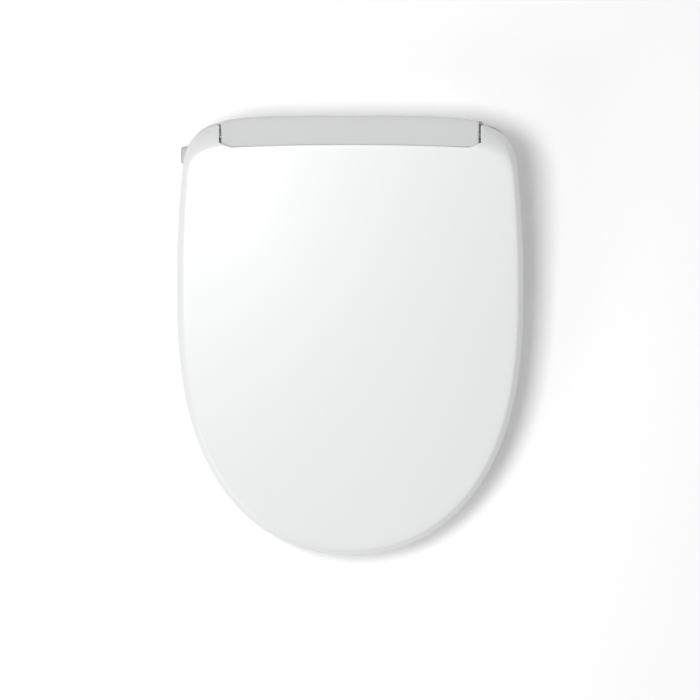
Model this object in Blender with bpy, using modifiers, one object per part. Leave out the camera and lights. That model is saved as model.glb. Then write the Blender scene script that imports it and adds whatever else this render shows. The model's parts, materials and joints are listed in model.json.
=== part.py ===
"""Electric bidet seat with lid, ring seat, housing and its inner works.

The script works in millimetres and writes metres. +Z is up, the front of the seat faces -Y,
and the origin lies between the two bowl bolts on the plane that the part rests on.
"""
import math

import bmesh
import bpy
from mathutils import Matrix, Vector

MM = 0.001
GAP = 0.3

# Plan of the lid: a superellipse on each side of its widest line.
LID_HALF_WIDTH = 204.0
LID_FRONT_REACH = 314.0
LID_REAR_REACH = 199.0
WIDEST_Y = -155.0
REAR_TAPER = 0.065
FRONT_Y = WIDEST_Y - LID_FRONT_REACH

# Side view of the lid.
LID_TOP_FRONT = 62.0
LID_TOP_REAR = 119.0
LID_CROWN = 2.5
LID_WALL = 3.0
LID_EDGE_RADIUS = 6.0
CREASE_Y = 13.0
SKIRT_FRONT_Z = 38.0
SKIRT_REAR_Z = 62.0
EAR_SKIRT_Z = 86.0
EAR_SLOPE = 0.85
LINER_DEPTH = 12.0

# Ring seat.
SEAT_INSET = 5.5
SEAT_REAR_Y = -3.0
SEAT_BOTTOM_Z = 8.0
SEAT_TOP_FRONT = 44.0
SEAT_TOP_REAR = 84.0
SEAT_WALL = 2.6
SEAT_POINTS = 56
OPENING_HALF_WIDTH = 108.0
OPENING_MID_Y = -255.0
OPENING_FRONT_REACH = 145.0
OPENING_REAR_REACH = 137.0

# Housing.
HOUSING_HALF_WIDTH = 190.0
HOUSING_MID_Y = -30.0
HOUSING_REAR_REACH = 80.0
HOUSING_FRONT_REACH = 75.0
HOUSING_WALL = 3.0
HOUSING_BOTTOM_Z = 2.0
SPLIT_Z = 40.0
SHOULDER_Z = 62.0
RIM_TOP_Z = 78.0
RIM_WALL = 3.2
HUMP_HALF_WIDTH = 152.0
HUMP_RADIUS = 25.4
HUMP_REAR_Z = 88.0
NOTCH_EDGE = ((153.6, 17.2), (140.0, 11.7), (112.0, 12.9), (60.0, 14.4), (0.0, 15.0))

# Hinge line of the seat and the lid.
HINGE_Y = 25.0
HINGE_Z = 90.0
SHAFT_RADIUS = 3.6
BORE_RADIUS = 4.2
BOSS_RADIUS = 6.9

# Nozzle.
NOZZLE_TILT = math.radians(15.0)
NOZZLE_FRONT = Vector((0.0, -103.0, 16.5))
WAND_RADIUS = 7.0
WAND_LENGTH = 136.0
RACK_TOP = 3.0
GEAR_RADIUS = 8.0
GEAR_STATION = 30.0

# Mounting plate.
PLATE_HALF_WIDTH = 100.0
PLATE_FRONT_Y = -33.0
PLATE_REAR_Y = 35.0
PLATE_THICKNESS = 8.0
BOLT_HALF_PITCH = 70.0

WHITE = (0.86, 0.86, 0.85)
SOFT_GREY = (0.55, 0.56, 0.57)
DARK_GREY = (0.10, 0.10, 0.11)
BLACK = (0.02, 0.02, 0.02)
BLUE = (0.25, 0.42, 0.62)
GREEN = (0.05, 0.24, 0.11)
STEEL = (0.62, 0.62, 0.63)
COPPER = (0.72, 0.42, 0.25)
CLEAR = (0.75, 0.80, 0.84)

FINISHES = {
    "gloss_white": (WHITE, 0.28, 0.0),
    "satin_white": (WHITE, 0.42, 0.0),
    "grey_plastic": (SOFT_GREY, 0.48, 0.0),
    "dark_plastic": (DARK_GREY, 0.5, 0.0),
    "grey_rubber": (SOFT_GREY, 0.8, 0.0),
    "black_rubber": (BLACK, 0.8, 0.0),
    "smoke_lens": (BLACK, 0.08, 0.0),
    "milk_lens": (CLEAR, 0.2, 0.0),
    "water_blue": (BLUE, 0.4, 0.0),
    "board_green": (GREEN, 0.45, 0.0),
    "steel": (STEEL, 0.3, 1.0),
    "copper": (COPPER, 0.35, 1.0),
}


# ---------------------------------------------------------------- scene helpers

def clear_scene():
    for thing in list(bpy.data.objects):
        bpy.data.objects.remove(thing, do_unlink=True)


def collection(name):
    group = bpy.data.collections.get(name)
    if group is None:
        group = bpy.data.collections.new(name)
        bpy.context.scene.collection.children.link(group)
    return group


def paint(part, finish):
    colour, roughness, metallic = FINISHES[finish]
    skin = bpy.data.materials.new(f"{part.name}_{finish}")
    skin.use_nodes = True
    shader = skin.node_tree.nodes["Principled BSDF"]
    shader.inputs["Base Color"].default_value = (*colour, 1.0)
    shader.inputs["Roughness"].default_value = roughness
    shader.inputs["Metallic"].default_value = metallic
    part.data.materials.append(skin)


def link_mesh(name, mesh, finish):
    """Put a mesh into the model, or among the cutters where it has no finish."""
    part = bpy.data.objects.new(name, mesh)
    if finish is None:
        collection("cutters").objects.link(part)
        part.hide_render = True
        part.display_type = 'WIRE'
    else:
        collection("electric_bidet_seat").objects.link(part)
        paint(part, finish)
    return part


def from_bmesh(name, bm, finish, smooth_angle=35.0):
    mesh = bpy.data.meshes.new(name)
    bmesh.ops.recalc_face_normals(bm, faces=bm.faces)
    closed = all(edge.is_manifold for edge in bm.edges)
    if closed and bm.calc_volume(signed=True) < 0.0:
        bmesh.ops.reverse_faces(bm, faces=bm.faces)
    bm.to_mesh(mesh)
    bm.free()
    mesh.shade_smooth()
    mesh.set_sharp_from_angle(angle=math.radians(smooth_angle))
    return link_mesh(name, mesh, finish)


def bevel(part, width, segments=1):
    edge = part.modifiers.new("rounded_edges", 'BEVEL')
    edge.width = width * MM
    edge.segments = segments
    edge.limit_method = 'ANGLE'
    edge.angle_limit = math.radians(40.0)
    return part


def boolean(part, other, operation):
    step = part.modifiers.new(f"{operation.lower()}_{other.name}", 'BOOLEAN')
    step.operation = operation
    step.solver = 'EXACT'
    step.object = other
    return part


def cut(part, *cutters):
    for cutter in cutters:
        boolean(part, cutter, 'DIFFERENCE')
    return part


def join(part, *others):
    for other in others:
        boolean(part, other, 'UNION')
    return part


def solidify(part, thickness):
    wall = part.modifiers.new("wall", 'SOLIDIFY')
    wall.thickness = thickness * MM
    wall.offset = -1.0
    wall.use_even_offset = True
    return part


def box(name, low, high, finish=None, rounding=0.0):
    low, high = Vector(low), Vector(high)
    bm = bmesh.new()
    bmesh.ops.create_cube(bm, size=1.0)
    size = Matrix.Diagonal(((high - low) * MM).to_4d())
    bm.transform(Matrix.Translation((low + high) / 2 * MM) @ size)
    part = from_bmesh(name, bm, finish)
    if rounding:
        bevel(part, rounding)
    return part


def rod(name, start, end, radius, finish=None, sides=20, rounding=0.0):
    start, end = Vector(start), Vector(end)
    bm = bmesh.new()
    length = (end - start).length
    bmesh.ops.create_cone(bm, cap_ends=True, segments=sides, radius1=radius * MM,
                          radius2=radius * MM, depth=length * MM)
    turn = (end - start).to_track_quat('Z', 'Y').to_matrix().to_4x4()
    bm.transform(Matrix.Translation((start + end) / 2 * MM) @ turn)
    part = from_bmesh(name, bm, finish)
    if rounding:
        bevel(part, rounding)
    return part


def turned(name, base, direction, profile, finish, sides=20):
    """A turned piece: profile points are (radius, height along direction), top first."""
    bm = bmesh.new()
    points = [bm.verts.new((radius * MM, 0.0, height * MM)) for radius, height in profile]
    for first, second in zip(points, points[1:]):
        bm.edges.new((first, second))
    bmesh.ops.remove_doubles(bm, verts=bm.verts, dist=0.00001)
    mesh = bpy.data.meshes.new(name)
    bm.to_mesh(mesh)
    bm.free()
    part = link_mesh(name, mesh, finish)
    turn = part.modifiers.new("turned", 'SCREW')
    turn.steps = sides
    turn.render_steps = sides
    turn.use_merge_vertices = True
    turn.merge_threshold = 0.00005
    turn.use_smooth_shade = True
    part.location = Vector(base) * MM
    part.rotation_mode = 'QUATERNION'
    part.rotation_quaternion = Vector(direction).to_track_quat('Z', 'Y')
    return part


def curve_to_mesh(name, curve, finish, place=Matrix.Identity(4)):
    """Turn a filled curve into a welded mesh piece."""
    guide = bpy.data.objects.new(f"{name}_curve", curve)
    bpy.context.scene.collection.objects.link(guide)
    bpy.context.view_layer.update()
    evaluated = guide.evaluated_get(bpy.context.evaluated_depsgraph_get())
    mesh = bpy.data.meshes.new_from_object(evaluated)
    mesh.name = name
    bpy.data.objects.remove(guide, do_unlink=True)
    bm = bmesh.new()
    bm.from_mesh(mesh)
    bmesh.ops.remove_doubles(bm, verts=bm.verts, dist=0.00001)
    bm.transform(place)
    bpy.data.meshes.remove(mesh)
    return from_bmesh(name, bm, finish)


def flat_curve(name, outline):
    curve = bpy.data.curves.new(name, 'CURVE')
    curve.dimensions = '2D'
    curve.fill_mode = 'BOTH'
    spline = curve.splines.new('POLY')
    spline.points.add(len(outline) - 1)
    for knot, (x, y) in zip(spline.points, outline):
        knot.co = (x * MM, y * MM, 0.0, 1.0)
    spline.use_cyclic_u = True
    return curve


def plan_prism(name, outline, low, high, finish=None):
    """An outline in plan, from height low to height high."""
    curve = flat_curve(name, outline)
    curve.extrude = (high - low) / 2 * MM
    lift = Matrix.Translation((0.0, 0.0, (low + high) / 2 * MM))
    return curve_to_mesh(name, curve, finish, lift)


def side_prism(name, outline, left, right, finish=None):
    """An outline in side view, as (y, z) points, from x = left to x = right."""
    curve = flat_curve(name, outline)
    curve.extrude = (right - left) / 2 * MM
    stand = Matrix(((0, 0, 1, 0), (1, 0, 0, 0), (0, 1, 0, 0), (0, 0, 0, 1)))
    shift = Matrix.Translation(((left + right) / 2 * MM, 0.0, 0.0))
    return curve_to_mesh(name, curve, finish, shift @ stand)


def tube(name, points, radius, finish, resolution=2):
    curve = bpy.data.curves.new(name, 'CURVE')
    curve.dimensions = '3D'
    curve.bevel_depth = radius * MM
    curve.bevel_resolution = resolution
    curve.use_fill_caps = True
    spline = curve.splines.new('POLY')
    spline.points.add(len(points) - 1)
    for knot, point in zip(spline.points, points):
        knot.co = (*(Vector(point) * MM), 1.0)
    return curve_to_mesh(name, curve, finish)


def soft_path(points, steps=3):
    """A smooth path through the points, as a Catmull-Rom curve."""
    ends = [points[0], *points, points[-1]]
    knots = [Vector(point) for point in ends]
    path = []
    for first, here, there, last in zip(knots, knots[1:], knots[2:], knots[3:]):
        for step in range(steps):
            t = step / steps
            path.append(0.5 * (2 * here + (there - first) * t
                               + (2 * first - 5 * here + 4 * there - last) * t ** 2
                               + (3 * here - first - 3 * there + last) * t ** 3))
    path.append(knots[-1])
    return path


def arc(centre, radius, start, end, steps):
    """Points of an arc in a plane, with its angles in degrees."""
    points = []
    for step in range(steps + 1):
        angle = math.radians(start + (end - start) * step / steps)
        points.append((centre[0] + radius * math.cos(angle), centre[1] + radius * math.sin(angle)))
    return points


def pivot(name, point, *parts):
    """Hang moving parts on an empty that stands on their joint's axis."""
    empty = bpy.data.objects.new(name, None)
    empty.empty_display_size = 0.01
    empty.location = Vector(point) * MM
    collection("electric_bidet_seat").objects.link(empty)
    for part in parts:
        part.parent = empty
        part.matrix_parent_inverse = Matrix.Translation(-empty.location)


# ---------------------------------------------------------------- outlines and lofts

def clamp(value):
    return min(1.0, max(0.0, value))


def ease(value):
    value = clamp(value)
    return value * value * (3.0 - 2.0 * value)


def superellipse(angle, half_width, half_length, power_x, power_y):
    cosine, sine = math.cos(angle), math.sin(angle)
    x = half_width * math.copysign(abs(cosine) ** (2.0 / power_x), cosine)
    y = half_length * math.copysign(abs(sine) ** (2.0 / power_y), sine)
    return x, y


def egg(half_width, mid_y, front_reach, rear_reach, front_powers, rear_powers, taper=0.0):
    """A plan curve as a function of an angle: one superellipse in front, one behind."""
    def point(angle):
        if math.sin(angle) < 0.0:
            x, y = superellipse(angle, half_width, front_reach, *front_powers)
        else:
            x, y = superellipse(angle, half_width, rear_reach, *rear_powers)
            x *= 1.0 - taper * (y / LID_REAR_REACH) ** 2
        return Vector((x, y + mid_y))
    return point


def spread(curve, count, samples=240, turn_weight=0.9):
    """Points round a closed curve, spaced by length and closer together where it turns."""
    dense = []
    for quadrant in range(4):
        for sample in range(samples):
            t = sample / samples
            warp = t ** 4 / (t ** 4 + (1.0 - t) ** 4)
            dense.append(curve(math.pi / 2 * (quadrant - 1 + warp)))
    sides = [after - here for here, after in zip(dense, dense[1:] + dense[:1])]
    total = sum(side.length for side in sides)
    reach = [0.0]
    for index, side in enumerate(sides):
        turn = abs(side.angle_signed(sides[index - 1], 0.0))
        reach.append(reach[-1] + side.length / total + turn_weight * turn / math.tau)
    chosen = []
    index = 0
    for number in range(count):
        target = reach[-1] * number / count
        while reach[index + 1] < target:
            index += 1
        span = reach[index + 1] - reach[index]
        chosen.append(dense[index] + sides[index] * ((target - reach[index]) / span))
    return chosen


def drop_straight(points, least_turn=0.001):
    """The loop without the points that lie on a straight run."""
    kept = []
    for before, here, after in zip(points[-1:] + points[:-1], points, points[1:] + points[:1]):
        if abs((here - before).angle_signed(after - here, 0.0)) > least_turn:
            kept.append(here)
    return kept


def inset(points, distance):
    """The same loop moved inward by a distance."""
    moved = []
    for before, here, after in zip(points[-1:] + points[:-1], points, points[1:] + points[:1]):
        along = (after - before).normalized()
        moved.append(here + Vector((-along.y, along.x)) * distance)
    return moved


def loft(name, rings, finish, smooth_angle=35.0, centre=None, wrap=False):
    """Quads between rings of (x, y, z) points; a centre point closes the last ring."""
    bm = bmesh.new()
    loops = [[bm.verts.new(Vector(point) * MM) for point in ring] for ring in rings]
    pairs = list(zip(loops, loops[1:]))
    if wrap:
        pairs.append((loops[-1], loops[0]))
    for lower, upper in pairs:
        for index, corner in enumerate(lower):
            after = (index + 1) % len(lower)
            bm.faces.new((corner, lower[after], upper[after], upper[index]))
    if centre is not None:
        hub = bm.verts.new(Vector(centre) * MM)
        for index, corner in enumerate(loops[-1]):
            bm.faces.new((corner, loops[-1][(index + 1) % len(loops[-1])], hub))
    return from_bmesh(name, bm, finish, smooth_angle)


lid_curve = egg(LID_HALF_WIDTH, WIDEST_Y, LID_FRONT_REACH, LID_REAR_REACH,
                (2.1, 2.6), (5.7, 13.0), REAR_TAPER)
crease_curve = egg(LID_HALF_WIDTH - 7.0, WIDEST_Y, LID_FRONT_REACH - 7.0, CREASE_Y - WIDEST_Y,
                   (2.1, 2.6), (9.0, 11.0), REAR_TAPER)
liner_curve = egg(LID_HALF_WIDTH - 10.5, WIDEST_Y, LID_FRONT_REACH - 8.0, 138.0,
                  (2.1, 2.6), (9.0, 12.0), REAR_TAPER)
seat_curve = egg(LID_HALF_WIDTH - SEAT_INSET, WIDEST_Y, LID_FRONT_REACH - SEAT_INSET,
                 SEAT_REAR_Y - WIDEST_Y, (2.1, 2.6), (8.0, 12.0), REAR_TAPER)
opening_curve = egg(OPENING_HALF_WIDTH, OPENING_MID_Y, OPENING_FRONT_REACH,
                    OPENING_REAR_REACH, (2.2, 2.2), (2.3, 2.3))


def lid_top_z(point):
    """Height of the lid's flat top over a plan point, with its slight crown."""
    along = (point[1] - FRONT_Y) / (CREASE_Y - FRONT_Y)
    across = clamp(abs(point[0]) / LID_HALF_WIDTH)
    slope = LID_TOP_FRONT + (LID_TOP_REAR - LID_TOP_FRONT) * along
    return slope + LID_CROWN * (1.0 - across ** 2) * math.sin(math.pi * clamp(along))


def skirt_bottom_z(point):
    along = clamp((point[1] - FRONT_Y) / -FRONT_Y)
    rise = ease(point[1] / HINGE_Y)
    skirt = SKIRT_FRONT_Z + (SKIRT_REAR_Z - SKIRT_FRONT_Z) * along
    return skirt + (EAR_SKIRT_Z - SKIRT_REAR_Z) * rise


def seat_bottom_z(y):
    """Underside of the ring: flat in front, stepped up over the housing behind."""
    step = ease((y + 178.0) / 48.0)
    over_housing = 53.0 + 13.0 * clamp((y + 110.0) / 107.0)
    return SEAT_BOTTOM_Z + (over_housing - SEAT_BOTTOM_Z) * step


def seat_top_z(y):
    along = (y - FRONT_Y) / (SEAT_REAR_Y - FRONT_Y)
    return SEAT_TOP_FRONT + (SEAT_TOP_REAR - SEAT_TOP_FRONT) * along


# ---------------------------------------------------------------- lid

def lid_shell():
    outline = spread(lid_curve, 72)
    crease = spread(crease_curve, 72)
    drops = [max(0.0, (edge - fold).length - 9.0) * EAR_SLOPE
             for edge, fold in zip(outline, crease)]
    rings = [[(p.x, p.y, skirt_bottom_z(p)) for p in outline]]
    for degrees in (0.0, 35.0, 65.0, 90.0):
        inward = LID_EDGE_RADIUS * (1.0 - math.cos(math.radians(degrees)))
        sink = LID_EDGE_RADIUS * (1.0 - math.sin(math.radians(degrees)))
        ring = inset(outline, inward)
        rings.append([(p.x, p.y, lid_top_z(p) - sink - drop) for p, drop in zip(ring, drops)])
    for share, sunk in ((0.45, 0.50), (0.78, 0.12), (1.0, 0.0)):
        ring = [edge + (fold - edge) * share for edge, fold in zip(ring, crease)]
        rings.append([(p.x, p.y, lid_top_z(p) - drop * sunk) for p, drop in zip(ring, drops)])
    hub = Vector((0.0, -215.0))
    for share in (0.75, 0.4):
        ring = [hub + (p - hub) * share for p in crease]
        rings.append([(p.x, p.y, lid_top_z(p)) for p in ring])
    shell = loft("lid_shell", rings, "gloss_white", centre=(*hub, lid_top_z(hub)))
    solidify(shell, LID_WALL)
    right = [(NOTCH_EDGE[0][0], 70.0), *NOTCH_EDGE]
    left = [(-x, y) for x, y in reversed(right[:-1])]
    return cut(shell, plan_prism("lid_notch", right + left, 40.0, 150.0))


def lid_liner():
    outline = spread(liner_curve, 48)
    rings = []
    for inward, depth in ((0.0, 7.0), (4.0, LINER_DEPTH)):
        ring = inset(outline, inward)
        rings.append([(p.x, p.y, lid_top_z(p) - depth) for p in ring])
    hub = Vector((0.0, -215.0))
    ring = [hub + (p - hub) * 0.5 for p in outline]
    rings.append([(p.x, p.y, lid_top_z(p) - LINER_DEPTH) for p in ring])
    liner = loft("lid_liner", rings, "satin_white", centre=(*hub, lid_top_z(hub) - LINER_DEPTH))
    return solidify(liner, 2.0)


def lid_arm(name, side):
    """Hinge plate under the lid's rear corner, its bore on the hinge line."""
    boss = arc((HINGE_Y, HINGE_Z), BOSS_RADIUS, -60.0, -160.0, 6)
    shape = [(-14.0, 109.5), *reversed(boss), (32.0, 87.0), (32.6, 92.5), (13.0, 110.0)]
    inner, outer = 154.6, 159.6
    left, right = sorted((side * inner, side * outer))
    arm = side_prism(name, shape, left, right, "satin_white")
    bore = rod(f"{name}_bore", (left - 5, HINGE_Y, HINGE_Z), (right + 5, HINGE_Y, HINGE_Z),
               BORE_RADIUS, sides=20)
    return cut(arm, bore)


def bumper(name, x, y, top_z, height, radius=8.0):
    """A turned rubber pad with a rounded lower edge."""
    profile = [(0.0, 0.0), (radius, 0.0), (radius, 1.5 - height), (radius - 1.2, -height),
               (0.0, -height)]
    return turned(name, (x, y, top_z), (0, 0, 1), profile, "grey_rubber", sides=20)


def lid():
    parts = [lid_shell(), lid_liner(), lid_arm("lid_arm_left", -1), lid_arm("lid_arm_right", 1)]
    for side, x in (("left", -112.0), ("right", 112.0)):
        y = -415.0
        under = lid_top_z((x, y)) - LINER_DEPTH - 2.0 - 1.2
        height = under - seat_top_z(y) - 0.8
        parts.append(bumper(f"lid_bumper_{side}", x, y, under, height))
    pivot("lid_pivot", (0.0, HINGE_Y, HINGE_Z), *parts)


# ---------------------------------------------------------------- ring seat

def seat_rings(levels):
    """Rings across the seat: (share from outer to inner edge, inset, share of height)."""
    outer = spread(seat_curve, SEAT_POINTS)
    inner = spread(opening_curve, SEAT_POINTS)
    rings = []
    for share, inward, height, lower in levels:
        ring = []
        for edge, hole in zip(inset(outer, inward), inset(inner, -inward)):
            p = edge + (hole - edge) * share
            bottom, top = seat_bottom_z(p.y), seat_top_z(p.y)
            ring.append((p.x, p.y, bottom + (top - bottom) * height - lower))
        rings.append(ring)
    return rings


def seat_top_shell():
    levels = [(0.0, 0.0, 0.0, 0.0), (0.0, 0.0, 0.60, 0.0), (0.0, 3.0, 0.84, 0.0),
              (0.0, 9.0, 0.96, 0.0), (0.30, 0.0, 1.0, 0.0), (0.60, 0.0, 1.0, 3.0),
              (1.0, 12.0, 0.90, 3.5), (1.0, 3.0, 0.72, 3.0), (1.0, 0.0, 0.50, 2.0),
              (1.0, 0.0, 0.0, 0.0)]
    return solidify(loft("seat_top_shell", seat_rings(levels), "gloss_white"), SEAT_WALL)


def seat_bottom_shell():
    inward = SEAT_WALL + 0.7
    levels = [(0.0, inward, 0.0, 0.0), (0.33, inward, 0.0, 0.0), (0.66, inward, 0.0, 0.0),
              (1.0, inward, 0.0, 0.0)]
    lower = seat_rings(levels)
    upper = [[(x, y, z + 2.2) for x, y, z in ring] for ring in reversed(lower)]
    return loft("seat_bottom_shell", lower + upper, "satin_white", wrap=True)


def seat_heater():
    levels = [(0.26, 0.0, 1.0, 4.0), (0.45, 0.0, 1.0, 4.9), (0.62, 0.0, 1.0, 6.6)]
    upper = seat_rings(levels)
    lower = [[(x, y, z - 0.8) for x, y, z in ring] for ring in reversed(upper)]
    return loft("seat_heater", upper + lower, "copper", wrap=True)


def seat_arm(name, side):
    """Hinge arm from the ring's rear edge to the hinge line."""
    boss = arc((HINGE_Y, HINGE_Z), BOSS_RADIUS, 110.0, -60.0, 9)
    shape = [(SEAT_REAR_Y + GAP, 71.0), (SEAT_REAR_Y + GAP, 83.0), *boss, (19.0, 84.4),
             (9.0, 80.5)]
    inner, outer = 160.4, 166.4
    left, right = sorted((side * inner, side * outer))
    arm = side_prism(name, shape, left, right, "satin_white")
    bore = rod(f"{name}_bore", (left - 5, HINGE_Y, HINGE_Z), (right + 5, HINGE_Y, HINGE_Z),
               BORE_RADIUS, sides=20)
    return cut(arm, bore)


def seat():
    parts = [seat_top_shell(), seat_bottom_shell(), seat_heater(),
             seat_arm("seat_arm_left", -1), seat_arm("seat_arm_right", 1)]
    parts.append(box("seat_sensor", (140.0, -270.0, SEAT_BOTTOM_Z + 2.6), (166.0, -240.0, 20.0),
                     "dark_plastic", 1.0))
    feet = {"front_left": (-95.0, -412.0), "front_right": (95.0, -412.0),
            "rear_left": (-155.0, -215.0), "rear_right": (155.0, -215.0)}
    for place, (x, y) in feet.items():
        parts.append(bumper(f"seat_foot_{place}", x, y, SEAT_BOTTOM_Z - GAP,
                            SEAT_BOTTOM_Z - GAP, radius=13.0))
    pivot("seat_pivot", (0.0, HINGE_Y, HINGE_Z), *parts)


# ---------------------------------------------------------------- housing

def housing_plan(inward):
    curve = egg(HOUSING_HALF_WIDTH - inward, HOUSING_MID_Y, HOUSING_FRONT_REACH - inward,
                HOUSING_REAR_REACH - inward, (10.0, 12.0), (4.5, 5.3))
    return drop_straight(spread(curve, 64))


def housing_sides(inward):
    """Side views of the hump and of the lower shoulders, as (y, z) outlines."""
    low = SPLIT_Z + GAP if inward == 0.0 else SPLIT_Z - 5.0
    slope = [(-120.0, low), (-120.0, 46.0 - inward), (-20.0, 60.0 - inward)]
    crown = arc((HINGE_Y, HINGE_Z), HUMP_RADIUS - inward, 180.0, 118.0, 6)
    hump = [*slope, (HINGE_Y - HUMP_RADIUS + inward, SHOULDER_Z - inward), *crown,
            (60.0, HUMP_REAR_Z - inward * 1.15), (60.0, low)]
    shoulder = [*slope, (0.0, SHOULDER_Z - inward), (60.0, SHOULDER_Z - inward), (60.0, low)]
    return hump, shoulder


def side_openings():
    """Cutters for everything that shows or leaves through the housing's walls."""
    return [
        box("nozzle_port", (-15.0, -109.0, 5.6), (13.0, -99.0, NOZZLE_FRONT.z + 12.5)),
        box("dryer_port", (26.0, -109.0, 14.0), (58.0, -99.0, 36.0)),
        box("night_light_hole", (-62.4, -109.0, 19.6), (-39.6, -99.0, 30.4)),
        box("filter_slot", (180.0, -75.5, 13.5), (196.0, -44.5, 36.5)),
        box("window_hole", (180.0, -32.4, 21.6), (196.0, -17.6, 32.4)),
        rod("wash_button_hole", (180.0, -8.0, 27.0), (196.0, -8.0, 27.0), 5.6),
        rod("stop_button_hole", (180.0, 6.0, 27.0), (196.0, 6.0, 27.0), 5.6),
        rod("gland_hole", (150.0, 38.0, 24.0), (150.0, 55.0, 24.0), 7.4),
        rod("inlet_hole", (-185.0, 6.0, 24.0), (-165.0, 6.0, 24.0), 7.6),
        rod("drain_hole", (-196.0, -70.0, 14.0), (-180.0, -70.0, 14.0), 5.4),
        box("elbow_recess", (-205.0, -9.0, -5.0), (-176.0, 21.0, 38.0)),
        box("plate_pocket", (-101.5, PLATE_FRONT_Y - 1.5, -5.0), (101.5, 60.0, 8.8)),
        box("latch_channel", (100.0, -25.5, -5.0), (205.0, -13.5, 9.0)),
        box("spring_channel", (143.5, -34.5, -5.0), (171.0, -20.0, 9.0)),
    ]


def housing_base():
    base = plan_prism("housing_base", housing_plan(0.0), HOUSING_BOTTOM_Z, SPLIT_Z,
                      "satin_white")
    hollow = plan_prism("base_hollow", housing_plan(HOUSING_WALL), HOUSING_BOTTOM_Z + 3.0,
                        SPLIT_Z + 10.0)
    cut(hollow, box("pocket_roof", (-104.5, PLATE_FRONT_Y - 4.5, 0.0), (104.5, 60.0, 11.8)),
        box("recess_wall", (-200.0, -12.0, 0.0), (-173.0, 24.0, 60.0)),
        box("channel_roof", (100.0, -37.5, -1.0), (200.0, -10.5, 12.0)))
    return cut(base, hollow, *side_openings())


def housing_cover():
    hump, shoulder = housing_sides(0.0)
    plan = plan_prism("cover_plan", housing_plan(0.0), 0.0, 140.0)
    cover = side_prism("housing_cover", shoulder, -200.0, 200.0, "gloss_white")
    join(cover, side_prism("cover_hump", hump, -HUMP_HALF_WIDTH, HUMP_HALF_WIDTH))
    rim = plan_prism("cover_rim", housing_plan(-5.0), SHOULDER_Z - 1.0, RIM_TOP_Z)
    cut(rim, plan_prism("rim_inside", housing_plan(RIM_WALL), 50.0, 90.0),
        box("rim_front", (-200.0, -150.0, 50.0), (200.0, 21.0, 90.0)))
    join(cover, rim)
    boolean(cover, plan, 'INTERSECT')

    hump_inside, shoulder_inside = housing_sides(HOUSING_WALL)
    hollow = side_prism("cover_hollow", shoulder_inside, -200.0, 200.0)
    inner_half = HUMP_HALF_WIDTH - HOUSING_WALL
    join(hollow, side_prism("hump_hollow", hump_inside, -inner_half, inner_half))
    boolean(hollow, plan_prism("cover_inner_plan", housing_plan(HOUSING_WALL), 0.0, 140.0),
            'INTERSECT')
    bore = rod("shaft_bore", (-160.0, HINGE_Y, HINGE_Z), (160.0, HINGE_Y, HINGE_Z),
               BORE_RADIUS, sides=20)
    return cut(cover, hollow, bore)


def cover_screw(name, x):
    """Self-tapping screw that holds cover and base together, head down."""
    profile = [(0.0, 22.0), (1.6, 22.0), (1.6, 2.6), (3.6, 2.4), (3.6, 0.0), (0.0, 0.0)]
    return turned(name, (x, 36.0, 13.0), (0, 0, 1), profile, "steel", sides=16)


def housing():
    housing_base()
    housing_cover()
    cover_screw("cover_screw_left", -135.0)
    cover_screw("cover_screw_right", 120.0)
    turned("drain_plug", (-190.6, -70.0, 14.0), (-1, 0, 0),
           [(0.0, 2.0), (6.5, 2.0), (7.5, 1.0), (7.5, 0.0), (4.8, 0.0), (4.8, -12.0),
            (0.0, -12.0)], "grey_plastic")
    box("ir_window", (186.4, -32.0, 22.0), (190.4, -18.0, 32.0), "smoke_lens", 0.8)
    box("night_light", (-62.0, -105.8, 20.0), (-40.0, -100.5, 30.0), "milk_lens", 1.2)


# ---------------------------------------------------------------- hinges

def hinges():
    for name, side in (("left", -1), ("right", 1)):
        rod(f"hinge_shaft_{name}", (side * 139.0, HINGE_Y, HINGE_Z),
            (side * 167.2, HINGE_Y, HINGE_Z), SHAFT_RADIUS, "steel", sides=20, rounding=0.6)
    for name, side in (("seat_damper", -1), ("lid_damper", 1)):
        turned(name, (side * 138.6, HINGE_Y, HINGE_Z), (side, 0, 0),
               [(0.0, 0.0), (5.5, 0.0), (5.5, -5.0), (11.5, -5.0), (11.5, -46.0),
                (0.0, -46.0)], "dark_plastic")


# ---------------------------------------------------------------- nozzle

def nozzle_point(station, lift=0.0, x=0.0):
    """A point along the tilted wand: station runs up and back from its front end."""
    cosine, sine = math.cos(NOZZLE_TILT), math.sin(NOZZLE_TILT)
    return NOZZLE_FRONT + Vector((x, station * cosine - lift * sine,
                                  station * sine + lift * cosine))


def tilted_box(name, low, high, finish=None, rounding=0.0):
    """A box in the wand's frame: x, station and lift."""
    part = box(name, low, high, finish, rounding)
    turn = Matrix.Rotation(NOZZLE_TILT, 4, 'X')
    part.data.transform(Matrix.Translation(NOZZLE_FRONT * MM) @ turn)
    return part


def nozzle_wand():
    wand = rod("nozzle_wand", nozzle_point(22.3), nozzle_point(WAND_LENGTH), WAND_RADIUS,
               "satin_white", sides=20)
    rack = tilted_box("wand_rack", (-12.0, 26.0, -2.0), (-4.0, WAND_LENGTH - 1.0, RACK_TOP))
    for tooth in range(33):
        start = 28.0 + 3.2 * tooth
        cut(rack, tilted_box(f"rack_gap_{tooth}", (-14.0, start, RACK_TOP - 1.4),
                             (-7.4, start + 1.6, RACK_TOP + 1.0)))
    return join(wand, rack)


def nozzle_tip():
    profile = [(0.0, 0.0), (4.6, 0.0), (6.6, -2.2), (6.6, -22.0), (0.0, -22.0)]
    tip = turned("nozzle_tip", nozzle_point(0.0), nozzle_point(0.0) - nozzle_point(1.0),
                 profile, "grey_plastic", sides=20)
    for index in range(3):
        station = 6.0 + 4.0 * index
        cut(tip, rod(f"spray_hole_{index}", nozzle_point(station, 4.5),
                     nozzle_point(station, 9.0), 0.9, sides=8))
    return tip


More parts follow.
